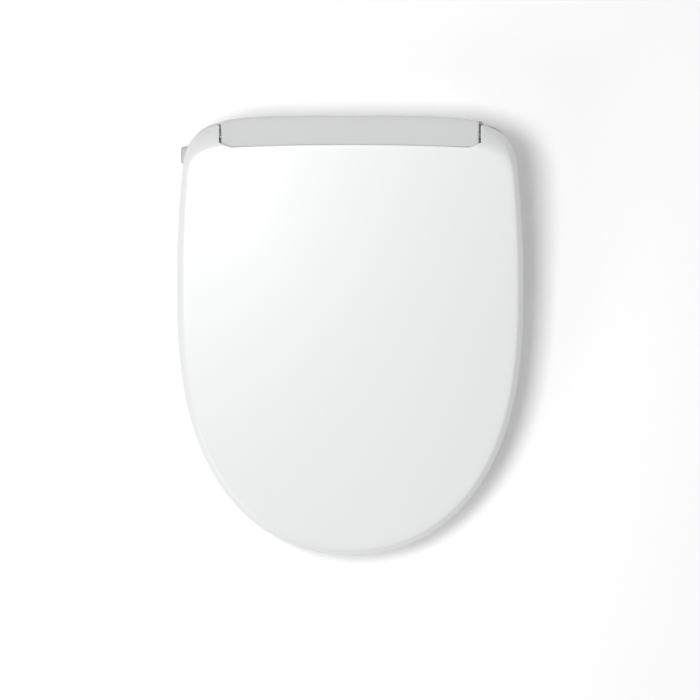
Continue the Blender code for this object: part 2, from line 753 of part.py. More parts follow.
def toothed_wheel(name, centre_yz, radius, depth, teeth, left, right, finish):
    outline = []
    for index in range(teeth):
        for share, reach in ((0.0, radius - depth), (0.3, radius), (0.6, radius),
                             (0.9, radius - depth)):
            angle = math.tau * (index + share) / teeth
            outline.append((centre_yz[0] + reach * math.cos(angle),
                            centre_yz[1] + reach * math.sin(angle)))
    return side_prism(name, outline, left, right, finish)


def nozzle_unit():
    wand, tip = nozzle_wand(), nozzle_tip()
    pivot("nozzle_slide_origin", nozzle_point(0.0), wand, tip)
    axis = nozzle_point(GEAR_STATION, RACK_TOP + 0.5 + GEAR_RADIUS)
    gear = toothed_wheel("nozzle_gear", (axis.y, axis.z), GEAR_RADIUS, 1.4, 16, -12.0, -7.6,
                         "grey_plastic")
    bore = rod("gear_bore", (-20.0, axis.y, axis.z), (0.0, axis.y, axis.z), 1.6, sides=12)
    cut(gear, bore)
    pivot("gear_axis", axis, gear)
    motor = rod("nozzle_motor", (-34.0, axis.y, axis.z), (-14.6, axis.y, axis.z), 10.6,
                "steel", rounding=0.8)
    join(motor, rod("motor_shaft", (-15.0, axis.y, axis.z), (-8.0, axis.y, axis.z), 1.2,
                    sides=12))
    cradle = tilted_box("nozzle_cradle", (-17.0, 4.0, -12.0), (13.0, 132.0, -3.0),
                        "grey_plastic")
    return cut(cradle, tilted_box("cradle_trough", (-14.0, 0.0, -7.6), (10.0, 150.0, 0.0)))


# ---------------------------------------------------------------- dryer and deodorizer

def vane_wheel(name, centre, radius, hub, low, high, vanes, finish):
    outline = []
    for index in range(vanes):
        for share, reach in ((0.0, hub), (0.25, radius), (0.45, radius), (0.55, hub)):
            angle = math.tau * (index + share) / vanes
            outline.append((centre[0] + reach * math.cos(angle),
                            centre[1] + reach * math.sin(angle)))
    wheel = plan_prism(name, outline, low, high, finish)
    pivot(f"{name}_axis", (centre[0], centre[1], low), wheel)
    return wheel


def dryer():
    centre = (104.0, -54.0)
    casing = rod("blower_housing", (*centre, 13.0), (*centre, 41.0), 31.0, "dark_plastic",
                 sides=32)
    join(casing, box("blower_outlet", (72.0, -84.0, 13.0), (104.0, -66.0, 41.0)))
    cut(casing, rod("blower_bowl", (*centre, 16.0), (*centre, 38.0), 28.0, sides=32),
        rod("blower_inlet", (*centre, 30.0), (*centre, 45.0), 19.0),
        box("blower_mouth", (68.0, -81.0, 16.0), (104.0, -69.0, 38.0)))
    vane_wheel("blower_impeller", centre, 26.0, 12.0, 17.0, 36.0, 12, "grey_plastic")

    duct = box("dryer_duct", (24.0, -100.0, 12.4), (71.6, -64.0, 37.6), "grey_plastic", 1.0)
    cut(duct, box("duct_bore", (27.0, -105.0, 15.0), (58.0, -67.0, 35.0)),
        box("duct_side", (50.0, -81.0, 15.6), (80.0, -69.0, 35.0)))
    box("dryer_heater", (30.0, -92.0, 16.0), (55.0, -84.0, 34.0), "copper", 0.8)
    flap = box("dryer_flap", (25.6, -108.2, 12.6), (58.4, -106.0, 37.4), "satin_white", 0.6)
    join(flap, rod("flap_barrel", (25.6, -107.2, 37.4), (58.4, -107.2, 37.4), 1.7, sides=16))
    pivot("dryer_flap_hinge", (42.0, -107.2, 37.4), flap)


def deodorizer():
    cartridge = box("filter_cartridge", (146.0, -75.0, 14.0), (190.8, -45.0, 36.0),
                    "grey_plastic", 1.2)
    cut(cartridge, box("cartridge_grip", (188.6, -66.0, 21.0), (195.0, -54.0, 29.0)),
        box("cartridge_flow", (152.0, -80.0, 18.0), (182.0, -40.0, 32.0)))
    pivot("filter_slide_origin", (190.8, -60.0, 25.0), cartridge)
    centre = (158.0, -20.0)
    frame = box("deodorizer_fan_frame", (142.0, -36.0, 13.0), (174.0, -4.0, 25.0),
                "dark_plastic", 1.0)
    cut(frame, rod("fan_tunnel", (*centre, 15.0), (*centre, 30.0), 14.0, sides=28))
    vane_wheel("deodorizer_rotor", centre, 12.8, 5.0, 16.0, 24.0, 7, "grey_plastic")


# ---------------------------------------------------------------- water

def inlet_elbow():
    """Screwed hose elbow: an upright leg with a flat-sided nut and a domed knee."""
    profile = [(0.0, 31.0), (5.0, 30.4), (8.6, 28.0), (10.6, 24.0), (10.8, 11.0),
               (9.0, 10.0), (9.0, 4.0), (0.0, 4.0)]
    elbow = turned("inlet_elbow", (-190.6, 6.0, 4.0), (0, 0, 1), profile, "grey_plastic")
    join(elbow, rod("elbow_nut", (-190.6, 6.0, 10.0), (-190.6, 6.0, 20.0), 12.0, sides=6))
    join(elbow, rod("elbow_stub", (-185.0, 6.0, 24.0), (-171.0, 6.0, 24.0), 7.0))
    return cut(elbow, rod("elbow_bore", (-190.6, 6.0, 0.0), (-190.6, 6.0, 22.0), 6.0),
               rod("stub_bore", (-190.6, 6.0, 24.0), (-165.0, 6.0, 24.0), 4.5))


def water():
    inlet_elbow()
    rod("inlet_strainer", (-190.6, 6.0, 9.0), (-190.6, 6.0, 17.0), 5.5, "steel", sides=16)
    box("inlet_valve", (-170.4, -9.0, 13.0), (-138.0, 21.0, 37.0), "dark_plastic", 2.0)
    rod("flow_sensor", (-137.6, 10.0, 24.0), (-109.0, 10.0, 24.0), 10.0, "water_blue",
        rounding=1.0)
    tank = box("water_tank", (-128.0, -96.0, 12.5), (-64.0, -42.0, 40.0), "grey_plastic", 4.0)
    join(tank, rod("element_flange", (-134.6, -69.0, 26.0), (-127.0, -69.0, 26.0), 11.0))
    rod("water_pump", (-158.0, -92.0, 27.0), (-158.0, -44.0, 27.0), 13.0, "steel",
        rounding=1.5)
    rod("diverter_valve", (-42.0, 6.0, 13.0), (-42.0, 6.0, 44.0), 12.5, "grey_plastic",
        rounding=1.0)
    rod("vacuum_breaker", (-84.0, 22.0, 13.0), (-84.0, 22.0, 64.0), 8.0, "water_blue",
        rounding=1.0)
    hoses = {
        "hose_sensor_to_tank": [(-108.3, 10, 24), (-101, 8, 24), (-96, -8, 24), (-96, -26, 24),
                                (-96, -41.2, 24)],
        "hose_tank_to_pump": [(-110, -41.2, 22), (-112, -32, 22), (-128, -22, 22),
                              (-152, -24, 24), (-158, -34, 26), (-158, -43.2, 27)],
        "hose_tank_to_diverter": [(-74, -41.2, 24), (-72, -24, 24), (-68, -6, 24),
                                  (-60, 5, 24), (-55.3, 6, 24)],
    }
    for name, route in hoses.items():
        tube(name, soft_path(route), 3.0, "grey_rubber")


# ---------------------------------------------------------------- electrics

def main_board():
    board = box("main_board", (18.0, 8.0, 66.0), (84.0, 44.0, 67.6), "board_green")
    chips = {"processor": ((30.0, 18.0), (44.0, 32.0), 2.0),
             "relay": ((56.0, 14.0), (70.0, 26.0), 9.0),
             "socket": ((54.0, 32.0), (78.0, 38.0), 6.0),
             "capacitor": ((22.0, 34.0), (28.0, 40.0), 8.0)}
    for name, (low, high, height) in chips.items():
        join(board, box(f"board_{name}", (*low, 67.0), (*high, 67.6 + height)))
    return board


def electrics():
    main_board()
    box("power_supply", (66.0, -14.0, 13.0), (112.0, 36.0, 46.0), "dark_plastic", 2.0)
    turned("cord_gland", (150.0, 45.4, 24.0), (0, 1, 0),
           [(3.6, 0.0), (7.0, 0.0), (7.0, -7.0), (8.5, -7.4), (8.5, -10.0), (3.6, -10.0),
            (3.6, 0.0)], "black_rubber")


# ---------------------------------------------------------------- mounting and side controls

def slot_outline(x, y, half_width, half_length):
    front = arc((x, y - half_length + half_width), half_width, 180.0, 360.0, 8)
    rear = arc((x, y + half_length - half_width), half_width, 0.0, 180.0, 8)
    return [*front, *rear]


def mounting_plate():
    plate = box("mounting_plate", (-PLATE_HALF_WIDTH, PLATE_FRONT_Y, 0.0),
                (PLATE_HALF_WIDTH, PLATE_REAR_Y, PLATE_THICKNESS), "grey_plastic", 1.0)
    for side in (-1, 1):
        x = side * BOLT_HALF_PITCH
        cut(plate, plan_prism(f"bolt_slot_{side}", slot_outline(x, 0.0, 5.5, 17.0), -5.0, 15.0),
            plan_prism(f"clamp_recess_{side}", slot_outline(x, 0.0, 11.0, 24.0), 4.0, 15.0))
    pivot("plate_slide_origin", (0.0, 0.0, 0.0), plate)


def latch():
    slider = box("latch_slider", (105.8, -23.0, 3.6), (180.0, -16.0, 8.0), "satin_white", 0.4)
    join(slider, box("latch_lug", (166.4, -33.0, 3.6), (169.8, -20.0, 8.0)))
    button = box("release_button", (180.4, -24.5, 3.0), (193.0, -14.5, 8.4), "grey_plastic", 1.0)
    pivot("release_slide_origin", (193.0, -19.5, 6.0), slider, button)
    turns, radius, left, right, facets = 5, 1.9, 144.6, 165.2, 6
    coil = []
    for step in range(turns * facets + 1):
        angle = math.tau * step / facets
        coil.append((left + (right - left) * step / (turns * facets),
                     -29.0 + radius * math.cos(angle), 5.8 + radius * math.sin(angle)))
    tube("latch_spring", coil, 0.4, "steel")


def side_buttons():
    for name, y in (("wash_button", -8.0), ("stop_button", 6.0)):
        button = turned(name, (192.4, y, 27.0), (1, 0, 0),
                        [(0.0, 0.0), (3.6, 0.0), (4.9, -1.0), (4.9, -7.6), (6.6, -7.6),
                         (6.6, -9.0), (0.0, -9.0)], "grey_plastic")
        pivot(f"{name}_travel", (192.4, y, 27.0), button)


clear_scene()
lid()
seat()
housing()
hinges()
nozzle_unit()
dryer()
deodorizer()
water()
electrics()
mounting_plate()
latch()
side_buttons()
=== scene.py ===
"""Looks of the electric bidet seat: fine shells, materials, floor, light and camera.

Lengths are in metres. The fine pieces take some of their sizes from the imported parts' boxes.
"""
import json
import math

import bmesh
import bpy
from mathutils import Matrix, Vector
from mathutils.geometry import delaunay_2d_cdt
from mathutils.kdtree import KDTree


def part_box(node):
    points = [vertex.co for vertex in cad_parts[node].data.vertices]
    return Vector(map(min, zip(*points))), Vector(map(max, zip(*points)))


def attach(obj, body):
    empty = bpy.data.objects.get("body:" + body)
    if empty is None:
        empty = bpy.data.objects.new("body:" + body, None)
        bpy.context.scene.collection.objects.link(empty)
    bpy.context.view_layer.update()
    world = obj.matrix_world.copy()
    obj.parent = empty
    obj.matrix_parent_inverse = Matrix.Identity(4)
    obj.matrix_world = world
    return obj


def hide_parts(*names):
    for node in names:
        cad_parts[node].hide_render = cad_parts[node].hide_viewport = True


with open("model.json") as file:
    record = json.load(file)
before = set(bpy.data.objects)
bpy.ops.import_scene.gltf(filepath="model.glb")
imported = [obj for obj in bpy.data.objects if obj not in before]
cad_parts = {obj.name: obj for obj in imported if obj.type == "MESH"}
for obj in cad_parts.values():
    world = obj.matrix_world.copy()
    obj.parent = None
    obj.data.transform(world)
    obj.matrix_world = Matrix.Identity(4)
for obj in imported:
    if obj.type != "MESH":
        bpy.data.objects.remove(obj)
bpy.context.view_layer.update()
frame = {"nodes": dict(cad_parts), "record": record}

MM = 0.001

# ---------------------------------------------------------------- places read from the frame

LID_LOW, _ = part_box("lid_shell")
_, SEAT_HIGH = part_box("seat_top_shell")
COVER_LOW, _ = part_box("housing_cover")
JOINTS = {joint["name"]: joint for joint in frame["record"]["behaviour"]["joints"]}
HINGE = Vector(JOINTS["lid_hinge"]["pos_m"])
SLOTS = {part["node"]: part["material_slot"] for part in frame["record"]["subparts"]}

# ---------------------------------------------------------------- sizes of the lid

HALF_WIDTH = 0.204
FRONT_REACH = 0.314
REAR_REACH = 0.199
WIDEST_Y = LID_LOW.y + FRONT_REACH
REAR_TAPER = 0.065
FRONT_POWERS = (2.1, 2.6)
REAR_POWERS = (5.7, 13.0)
PLAN_SPACING = 0.0035
LOOP_SPACING = 0.0034
TOP_GRID = 0.0052
UNDER_GRID = 0.012
CREASE_Y = 0.013
CREASE_IN = 0.007
LID_TOP_FRONT = 0.062
LID_TOP_REAR = 0.119
LID_CROWN = 0.0024
LID_WALL = 0.003
LIP = 0.0006
INNER_SLOPE = 0.0050
INNER_WALL_DEPTH = 0.0024
INNER_TOP_DEPTH = 0.0026
INNER_TOP_DROP = 0.0010
TOP_THICKNESS = 0.0036
EDGE_THICKNESS = 0.0042
EAR_FRONT_Y = 0.010
EAR_SLOPE = 0.85
EAR_FLAT = 0.009
NOTCH_X = 0.1536
NOTCH_EDGE = ((0.1536, 0.0172), (0.1400, 0.0117), (0.1120, 0.0129), (0.0600, 0.0144))
NOTCH_MIDDLE_Y = 0.0150
NOTCH_CORNER_RADII = (0.0042, 0.0010, 0.0040, 0.0200, 0.0200)
NOTCH_FRONT_Y = 0.0105
NOTCH_MARGIN = 0.0008
NOTCH_CLEARANCE = 0.0045
NOTCH_WALL = 0.0020
NOTCH_EDGE_RADIUS = 0.0009
NOTCH_FADE = 0.012
SKIRT_FRONT_Z = 0.0381
SKIRT_REAR_Z = 0.062
EAR_SKIRT_Z = 0.086

# Outer edge of the lid in section, in mm as (distance in, depth): wall, soft corner, band.
OUTER_EDGE = ((0.0, 7.5), (0.1, 6.2), (0.5, 5.3), (1.3, 4.45), (3.2, 2.85), (5.0, 1.35),
              (5.9, 0.70), (7.0, 0.22), (8.6, 0.0))

LINER_POINTS = 260
LINER_GRID = 0.0055
LINER_BACK_GRID = 0.014
LINER_INSET = 0.0105
LINER_REAR_REACH = 0.138
LINER_UPPER_DEPTH = 0.0066
LINER_LOWER_DEPTH = 0.0140
LINER_BORDER = 0.016
LINER_STEP = 0.010
LINER_FIELD_RISE = 0.0032

# Edge of the lid's inner panel in section, in mm as (distance in, depth below the plateau).
LINER_EDGE = ((3.0, 6.6), (0.6, 6.8), (0.0, 7.6), (0.0, 9.6), (0.6, 11.7), (1.8, 13.2),
              (4.0, 14.0))

# ---------------------------------------------------------------- sizes of the seat

UPPER_COLUMNS = 220
LOWER_COLUMNS = 200
SEAT_INSET = 0.0055
SEAT_REAR_Y = SEAT_HIGH.y
SEAT_BOTTOM_Z = 0.008
SEAT_STEP_Y = -0.178
SEAT_STEP_LENGTH = 0.048
OVER_HOUSING_Z = 0.053
OVER_HOUSING_RISE = 0.013
OVER_HOUSING_Y = -0.110
OVER_HOUSING_LENGTH = 0.107
SEAT_TOP_FRONT = 0.0438
SEAT_TOP_REAR = 0.0838
SEAT_WALL = 0.0026
SEAT_GAP = 0.0007
OPENING = dict(half_width=0.108, mid_y=-0.255, front_reach=0.145, rear_reach=0.137)

# Upper shell in section, as (share across, inset, share of the height, sag), outside to inside.
SEAT_SECTION = ((0.0, 0.0, 0.28, 0.0), (0.0, 0.0, 0.56, 0.0), (0.0, 0.0022, 0.80, 0.0),
                (0.0, 0.0090, 0.955, 0.0), (0.16, 0.0, 0.995, 0.0), (0.34, 0.0, 1.0, 0.0),
                (0.60, 0.0, 1.0, 0.0030), (1.0, 0.0150, 0.94, 0.0038),
                (1.0, 0.0060, 0.82, 0.0034), (1.0, 0.0012, 0.64, 0.0024),
                (1.0, 0.0, 0.44, 0.0010), (1.0, 0.0, 0.20, 0.0))

# Lower shell in section, as (share across, height above its underside in mm).
FLOOR_SECTION = ((0.004, 0.0), (0.33, 0.0), (0.66, 0.0), (0.996, 0.0), (1.0, 0.5),
                 (1.0, 1.9), (0.994, 2.2), (0.66, 2.2), (0.33, 2.2), (0.006, 2.2),
                 (0.0, 1.9), (0.0, 0.5))

# ---------------------------------------------------------------- sizes of the housing

HOUSING_MID_Y = -0.030
HOUSING_HALF_WIDTH = 0.190
HOUSING_FRONT_REACH = 0.075
HOUSING_REAR_REACH = 0.080
HOUSING_FRONT_POWERS = (10.0, 12.0)
HOUSING_REAR_POWERS = (4.5, 5.3)
COVER_POINTS = 240
COVER_WALL = 0.003
HOLLOW_POINTS = 120
HOLLOW_EDGE = 0.0005
HOLLOW_LOW_Z = 0.030
HUMP_X = 0.152
HUMP_RADIUS = 0.0254
HUMP_REAR_Z = 0.088
HUMP_BROW_Y = 0.060
HUMP_BROW_REACH = 0.012
HUMP_END_RADIUS = 0.0026
HUMP_OVERLAP = 0.0015
INNER_HUMP_Z = 0.050
SHOULDER_Z = 0.062
SHOULDER_FRONT_Z = 0.060
SHOULDER_FRONT_Y = -0.020
SHOULDER_SLOPE = 0.14
SHOULDER_EDGE = 0.0022
RIM_TOP_Z = 0.0762
RIM_LOW_TOP_Z = 0.064
RIM_FOOT_Z = 0.056
RIM_START_Y = 0.021
RIM_RAMP = 0.004
RIM_WALL = 0.0032
SHAFT_REACH = 0.160
SHAFT_HOLE_RADIUS = 0.0042

# ---------------------------------------------------------------- sizes of the hose elbow

ELBOW = Vector((-0.1906, 0.0054, 0.0))
ELBOW_BORE_RADIUS = 0.006
ELBOW_BORE_TOP_Z = 0.022
STUB_RADIUS = 0.0068
STUB_START = (ELBOW.x + 0.004, ELBOW.y, 0.027)
STUB_END = (-0.171, ELBOW.y, 0.0265)

# Outside of the elbow's leg from its foot up, in mm as (shape, half width, height).
ELBOW_LEVELS = (("round", 8.2, 4.0), ("round", 9.0, 4.8), ("round", 9.0, 9.6),
                ("nut", 11.2, 10.0), ("nut", 12.0, 10.8), ("nut", 12.0, 18.6),
                ("nut", 11.2, 19.6), ("round", 8.8, 20.0), ("round", 8.8, 21.0),
                ("square", 9.6, 21.6), ("square", 10.3, 22.6), ("square", 10.3, 33.0),
                ("square", 10.0, 34.2), ("square", 9.0, 35.0), ("square", 7.5, 35.3))

# ---------------------------------------------------------------- edges of carried-over parts

EDGE_WIDTHS = {"gloss_white": 0.0008, "satin_white": 0.0006, "grey_plastic": 0.0006,
               "dark_plastic": 0.0005, "steel": 0.0003}

# ---------------------------------------------------------------- sizes of the studio

FLOOR_HALF_WIDTH = 6.0
FLOOR_GLOW = 0.19
AIR_STRENGTH = 0.30
LIGHT_AIM = Vector((0.0, -0.2, 0.05))
LIGHT_DISTANCE = 2.6
LENS_MM = 300.0
SENSOR_MM = 36.0
FAR_CLIP = 50.0
EYE = (0.0, -0.226, 6.96)


# ---------------------------------------------------------------- outline maths

def clamp(value, low=0.0, high=1.0):
    return min(high, max(low, value))


def ease(value):
    value = clamp(value)
    return value * value * (3.0 - 2.0 * value)


def superellipse(angle, half_width, half_length, power_x, power_y):
    cosine, sine = math.cos(angle), math.sin(angle)
    x = half_width * math.copysign(abs(cosine) ** (2.0 / power_x), cosine)
    y = half_length * math.copysign(abs(sine) ** (2.0 / power_y), sine)
    return x, y


def egg(half_width, mid_y, front_reach, rear_reach, front_powers, rear_powers, taper=0.0):
    """A plan curve as a function of an angle: one superellipse in front, one behind."""
    def point(angle):
        if math.sin(angle) < 0.0:
            x, y = superellipse(angle, half_width, front_reach, *front_powers)
        else:
            x, y = superellipse(angle, half_width, rear_reach, *rear_powers)
            x *= 1.0 - taper * (y / REAR_REACH) ** 2
        return Vector((x, y + mid_y))
    return point


def dense_points(curve, samples=400):
    """Points round a closed curve from its front middle, anticlockwise seen from above."""
    points = []
    for quadrant in range(4):
        for sample in range(samples):
            t = sample / samples
            warp = t ** 4 / (t ** 4 + (1.0 - t) ** 4)
            points.append(curve(math.pi / 2 * (quadrant - 1 + warp)))
    return points


def respaced(points, spacing, closed=False, turn_weight=0.03):
    """The same line with points by length, closer together where it turns."""
    line = points + points[:1] if closed else list(points)
    sides = [after - here for here, after in zip(line, line[1:])]
    reach = [0.0]
    for index, side in enumerate(sides):
        before = sides[index - 1] if index or closed else side
        turn = abs(side.angle_signed(before, 0.0)) if side.length and before.length else 0.0
        reach.append(reach[-1] + side.length + turn_weight * turn)
    count = max(2, round(reach[-1] / spacing))
    kept, index = [], 0
    for number in range(count if closed else count + 1):
        target = reach[-1] * number / count
        while index < len(sides) - 1 and reach[index + 1] < target:
            index += 1
        span = reach[index + 1] - reach[index]
        share = (target - reach[index]) / span if span else 0.0
        kept.append(line[index] + sides[index] * clamp(share))
    return kept


def spread(curve, count, turn_weight=0.2):
    """A closed curve as a set number of points, more of them where it turns."""
    dense = dense_points(curve)
    length = sum((b - a).length for a, b in zip(dense, dense[1:] + dense[:1]))
    whole = length + turn_weight * math.tau
    return respaced(dense, whole / count, closed=True, turn_weight=turn_weight)[:count]


def inset(points, distance):
    """A closed loop moved inward by one distance, or by one for each point."""
    steps = [distance] * len(points) if isinstance(distance, float) else distance
    moved = []
    for before, here, after, step in zip(points[-1:] + points[:-1], points,
                                         points[1:] + points[:1], steps):
        along = (after - before).normalized()
        moved.append(here + Vector((-along.y, along.x)) * step)
    return moved


def arc(centre, radius, start, end, steps):
    """Points of an arc in a plane, with its angles in degrees."""
    points = []
    for step in range(steps + 1):
        angle = math.radians(start + (end - start) * step / steps)
        points.append(Vector((centre[0] + radius * math.cos(angle),
                              centre[1] + radius * math.sin(angle))))
    return points


def rounded(corners, radii, steps=6):
    """A closed outline with each corner rounded by its own radius."""
    outline = []
    for before, corner, after, radius in zip(corners[-1:] + corners[:-1], corners,
                                             corners[1:] + corners[:1], radii):
        before, corner, after = Vector(before), Vector(corner), Vector(after)
        towards, onwards = (before - corner).normalized(), (after - corner).normalized()
        bend = towards.angle(onwards)
        if radius <= 0.0 or bend > math.radians(178.0):
            outline.append(corner)
            continue
        reach = min(radius / math.tan(bend / 2), (before - corner).length * 0.49,
                    (after - corner).length * 0.49)
        start, end = corner + towards * reach, corner + onwards * reach
        for step in range(steps + 1):
            t = step / steps
            outline.append(start * (1 - t) ** 2 + corner * 2 * t * (1 - t) + end * t * t)
    return outline


# ---------------------------------------------------------------- mesh helpers

def new_piece(name, bm, body, replaced=(), smooth_angle=32.0):
    bmesh.ops.recalc_face_normals(bm, faces=bm.faces)
    if all(edge.is_manifold for edge in bm.edges) and bm.calc_volume(signed=True) < 0.0:
        bmesh.ops.reverse_faces(bm, faces=bm.faces)
    mesh = bpy.data.meshes.new(name)
    bm.to_mesh(mesh)
    bm.free()
    mesh.shade_smooth()
    mesh.set_sharp_from_angle(angle=math.radians(smooth_angle))
    piece = bpy.data.objects.new(name, mesh)
    bpy.context.scene.collection.objects.link(piece)
    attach(piece, body)
    if replaced:
        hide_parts(*replaced)
    return piece


def add_ring(bm, points):
    return [bm.verts.new(point) for point in points]


def bridge(bm, lower, upper):
    for index, corner in enumerate(lower):
        after = (index + 1) % len(lower)
        bm.faces.new((corner, lower[after], upper[after], upper[index]))


def fill_height(bm, ring, outline, height, spacing):
    """Fill a loop with a height field over a grid of points inside it."""
    low_x, high_x = min(p.x for p in outline), max(p.x for p in outline)
    low_y, high_y = min(p.y for p in outline), max(p.y for p in outline)
    tree = KDTree(len(outline))
    for index, point in enumerate(outline):
        tree.insert((point.x, point.y, 0.0), index)
    tree.balance()
    grid = []
    columns = round((high_x - low_x) / spacing)
    rows = round((high_y - low_y) / spacing)
    for row in range(1, rows):
        for column in range(columns + 1):
            share = (column + 0.5 * (row % 2)) / columns
            x = low_x + (high_x - low_x) * share
            y = low_y + (high_y - low_y) * row / rows
            if tree.find((x, y, 0.0))[2] > spacing * 0.55:
                grid.append(Vector((x, y)))
    count = len(outline)
    edges = [(index, (index + 1) % count) for index in range(count)]
    points, _, faces, origins, _, _ = delaunay_2d_cdt(
        [Vector(p) for p in outline] + grid, edges, [], 1, 1e-7)
    corners = {}
    for face in faces:
        for index in face:
            if index in corners:
                continue
            first = origins[index][0] if origins[index] else count
            point = points[index]
            corners[index] = (ring[first] if first < count
                              else bm.verts.new((point.x, point.y, height(point))))
        bm.faces.new([corners[index] for index in face])


# ---------------------------------------------------------------- materials

def shader_of(name):
    skin = bpy.data.materials.new(name)
    skin.use_nodes = True
    return skin, skin.node_tree, skin.node_tree.nodes["Principled BSDF"]


def add_noise(tree, place, scale, detail=3.0, stretch=None):
    """Noise over the object's own coordinates, in features per metre."""
    noise = tree.nodes.new("ShaderNodeTexNoise")
    noise.inputs["Scale"].default_value = scale
    noise.inputs["Detail"].default_value = detail
    if stretch:
        mapping = tree.nodes.new("ShaderNodeMapping")
        mapping.inputs["Scale"].default_value = stretch
        tree.links.new(place.outputs["Object"], mapping.inputs["Vector"])
        tree.links.new(mapping.outputs["Vector"], noise.inputs["Vector"])
    else:
        tree.links.new(place.outputs["Object"], noise.inputs["Vector"])
    return noise.outputs["Fac"]


def remap(tree, value, low, high, start=0.3, end=0.7):
    span = tree.nodes.new("ShaderNodeMapRange")
    span.inputs["From Min"].default_value = start
    span.inputs["From Max"].default_value = end
    span.inputs["To Min"].default_value = low
    span.inputs["To Max"].default_value = high
    tree.links.new(value, span.inputs["Value"])
    return span.outputs["Result"]


def tint(tree, value, first, second):
    mix = tree.nodes.new("ShaderNodeMix")
    mix.data_type = 'RGBA'
    mix.inputs["A"].default_value = (*first, 1.0)
    mix.inputs["B"].default_value = (*second, 1.0)
    tree.links.new(value, mix.inputs["Factor"])
    return mix.outputs["Result"]


def moulded(name, colour, roughness, grain=900.0, depth=0.00002, strength=0.25, coat=0.0,
            vary=0.02, swirl=9.0, rough_vary=0.05):
    """Moulded plastic: a fine grain, faint flow marks, and gloss that varies a little."""
    skin, tree, shader = shader_of(name)
    place = tree.nodes.new("ShaderNodeTexCoord")
    flow = remap(tree, add_noise(tree, place, swirl, 4.0), 0.0, 1.0)
    darker = tuple(channel * (1.0 - vary) for channel in colour)
    tree.links.new(tint(tree, flow, darker, colour), shader.inputs["Base Color"])
    patches = remap(tree, add_noise(tree, place, swirl * 5.0, 5.0),
                    roughness - rough_vary, roughness + rough_vary)
    tree.links.new(patches, shader.inputs["Roughness"])
    bump = tree.nodes.new("ShaderNodeBump")
    bump.inputs["Strength"].default_value = strength
    bump.inputs["Distance"].default_value = depth
    tree.links.new(add_noise(tree, place, grain, 2.0), bump.inputs["Height"])
    tree.links.new(bump.outputs["Normal"], shader.inputs["Normal"])
    shader.inputs["IOR"].default_value = 1.5
    shader.inputs["Coat Weight"].default_value = coat
    shader.inputs["Coat Roughness"].default_value = 0.08
    return skin


def rubber(name, colour):
    skin = moulded(name, colour, 0.78, grain=2600.0, depth=0.00006, strength=0.5, vary=0.10,
                   swirl=60.0)
    skin.node_tree.nodes["Principled BSDF"].inputs["Sheen Weight"].default_value = 0.15
    return skin


def metal(name, colour, roughness, stretch=(40.0, 900.0, 900.0)):
    """Turned or rolled metal with fine lines along one direction."""
    skin, tree, shader = shader_of(name)
    place = tree.nodes.new("ShaderNodeTexCoord")
    lines = add_noise(tree, place, 1.0, 4.0, stretch)
    tree.links.new(remap(tree, lines, roughness - 0.08, roughness + 0.12),
                   shader.inputs["Roughness"])
    darker = tuple(channel * 0.86 for channel in colour)
    tree.links.new(tint(tree, remap(tree, lines, 0.0, 1.0), darker, colour),
                   shader.inputs["Base Color"])
    bump = tree.nodes.new("ShaderNodeBump")
    bump.inputs["Strength"].default_value = 0.3
    bump.inputs["Distance"].default_value = 0.00002
    tree.links.new(lines, bump.inputs["Height"])
    tree.links.new(bump.outputs["Normal"], shader.inputs["Normal"])
    shader.inputs["Metallic"].default_value = 1.0
    return skin


def lens(name, colour, roughness, transmission):
    skin = moulded(name, colour, roughness, grain=500.0, strength=0.1, vary=0.05,
                   rough_vary=0.02)
    shader = skin.node_tree.nodes["Principled BSDF"]
    shader.inputs["Transmission Weight"].default_value = transmission
    return skin


def circuit_board(name):
    """Green lacquer with a grid of paler conductor lines under it."""
    skin, tree, shader = shader_of(name)
    place = tree.nodes.new("ShaderNodeTexCoord")
    bricks = tree.nodes.new("ShaderNodeTexBrick")
    bricks.inputs["Scale"].default_value = 160.0
    bricks.inputs["Mortar Size"].default_value = 0.03
    bricks.inputs["Color1"].default_value = (0.012, 0.10, 0.04, 1.0)
    bricks.inputs["Color2"].default_value = (0.018, 0.13, 0.05, 1.0)
    bricks.inputs["Mortar"].default_value = (0.06, 0.28, 0.12, 1.0)
    tree.links.new(place.outputs["Object"], bricks.inputs["Vector"])
    tree.links.new(bricks.outputs["Color"], shader.inputs["Base Color"])
    gloss = remap(tree, add_noise(tree, place, 120.0), 0.28, 0.42)
    tree.links.new(gloss, shader.inputs["Roughness"])
    return skin


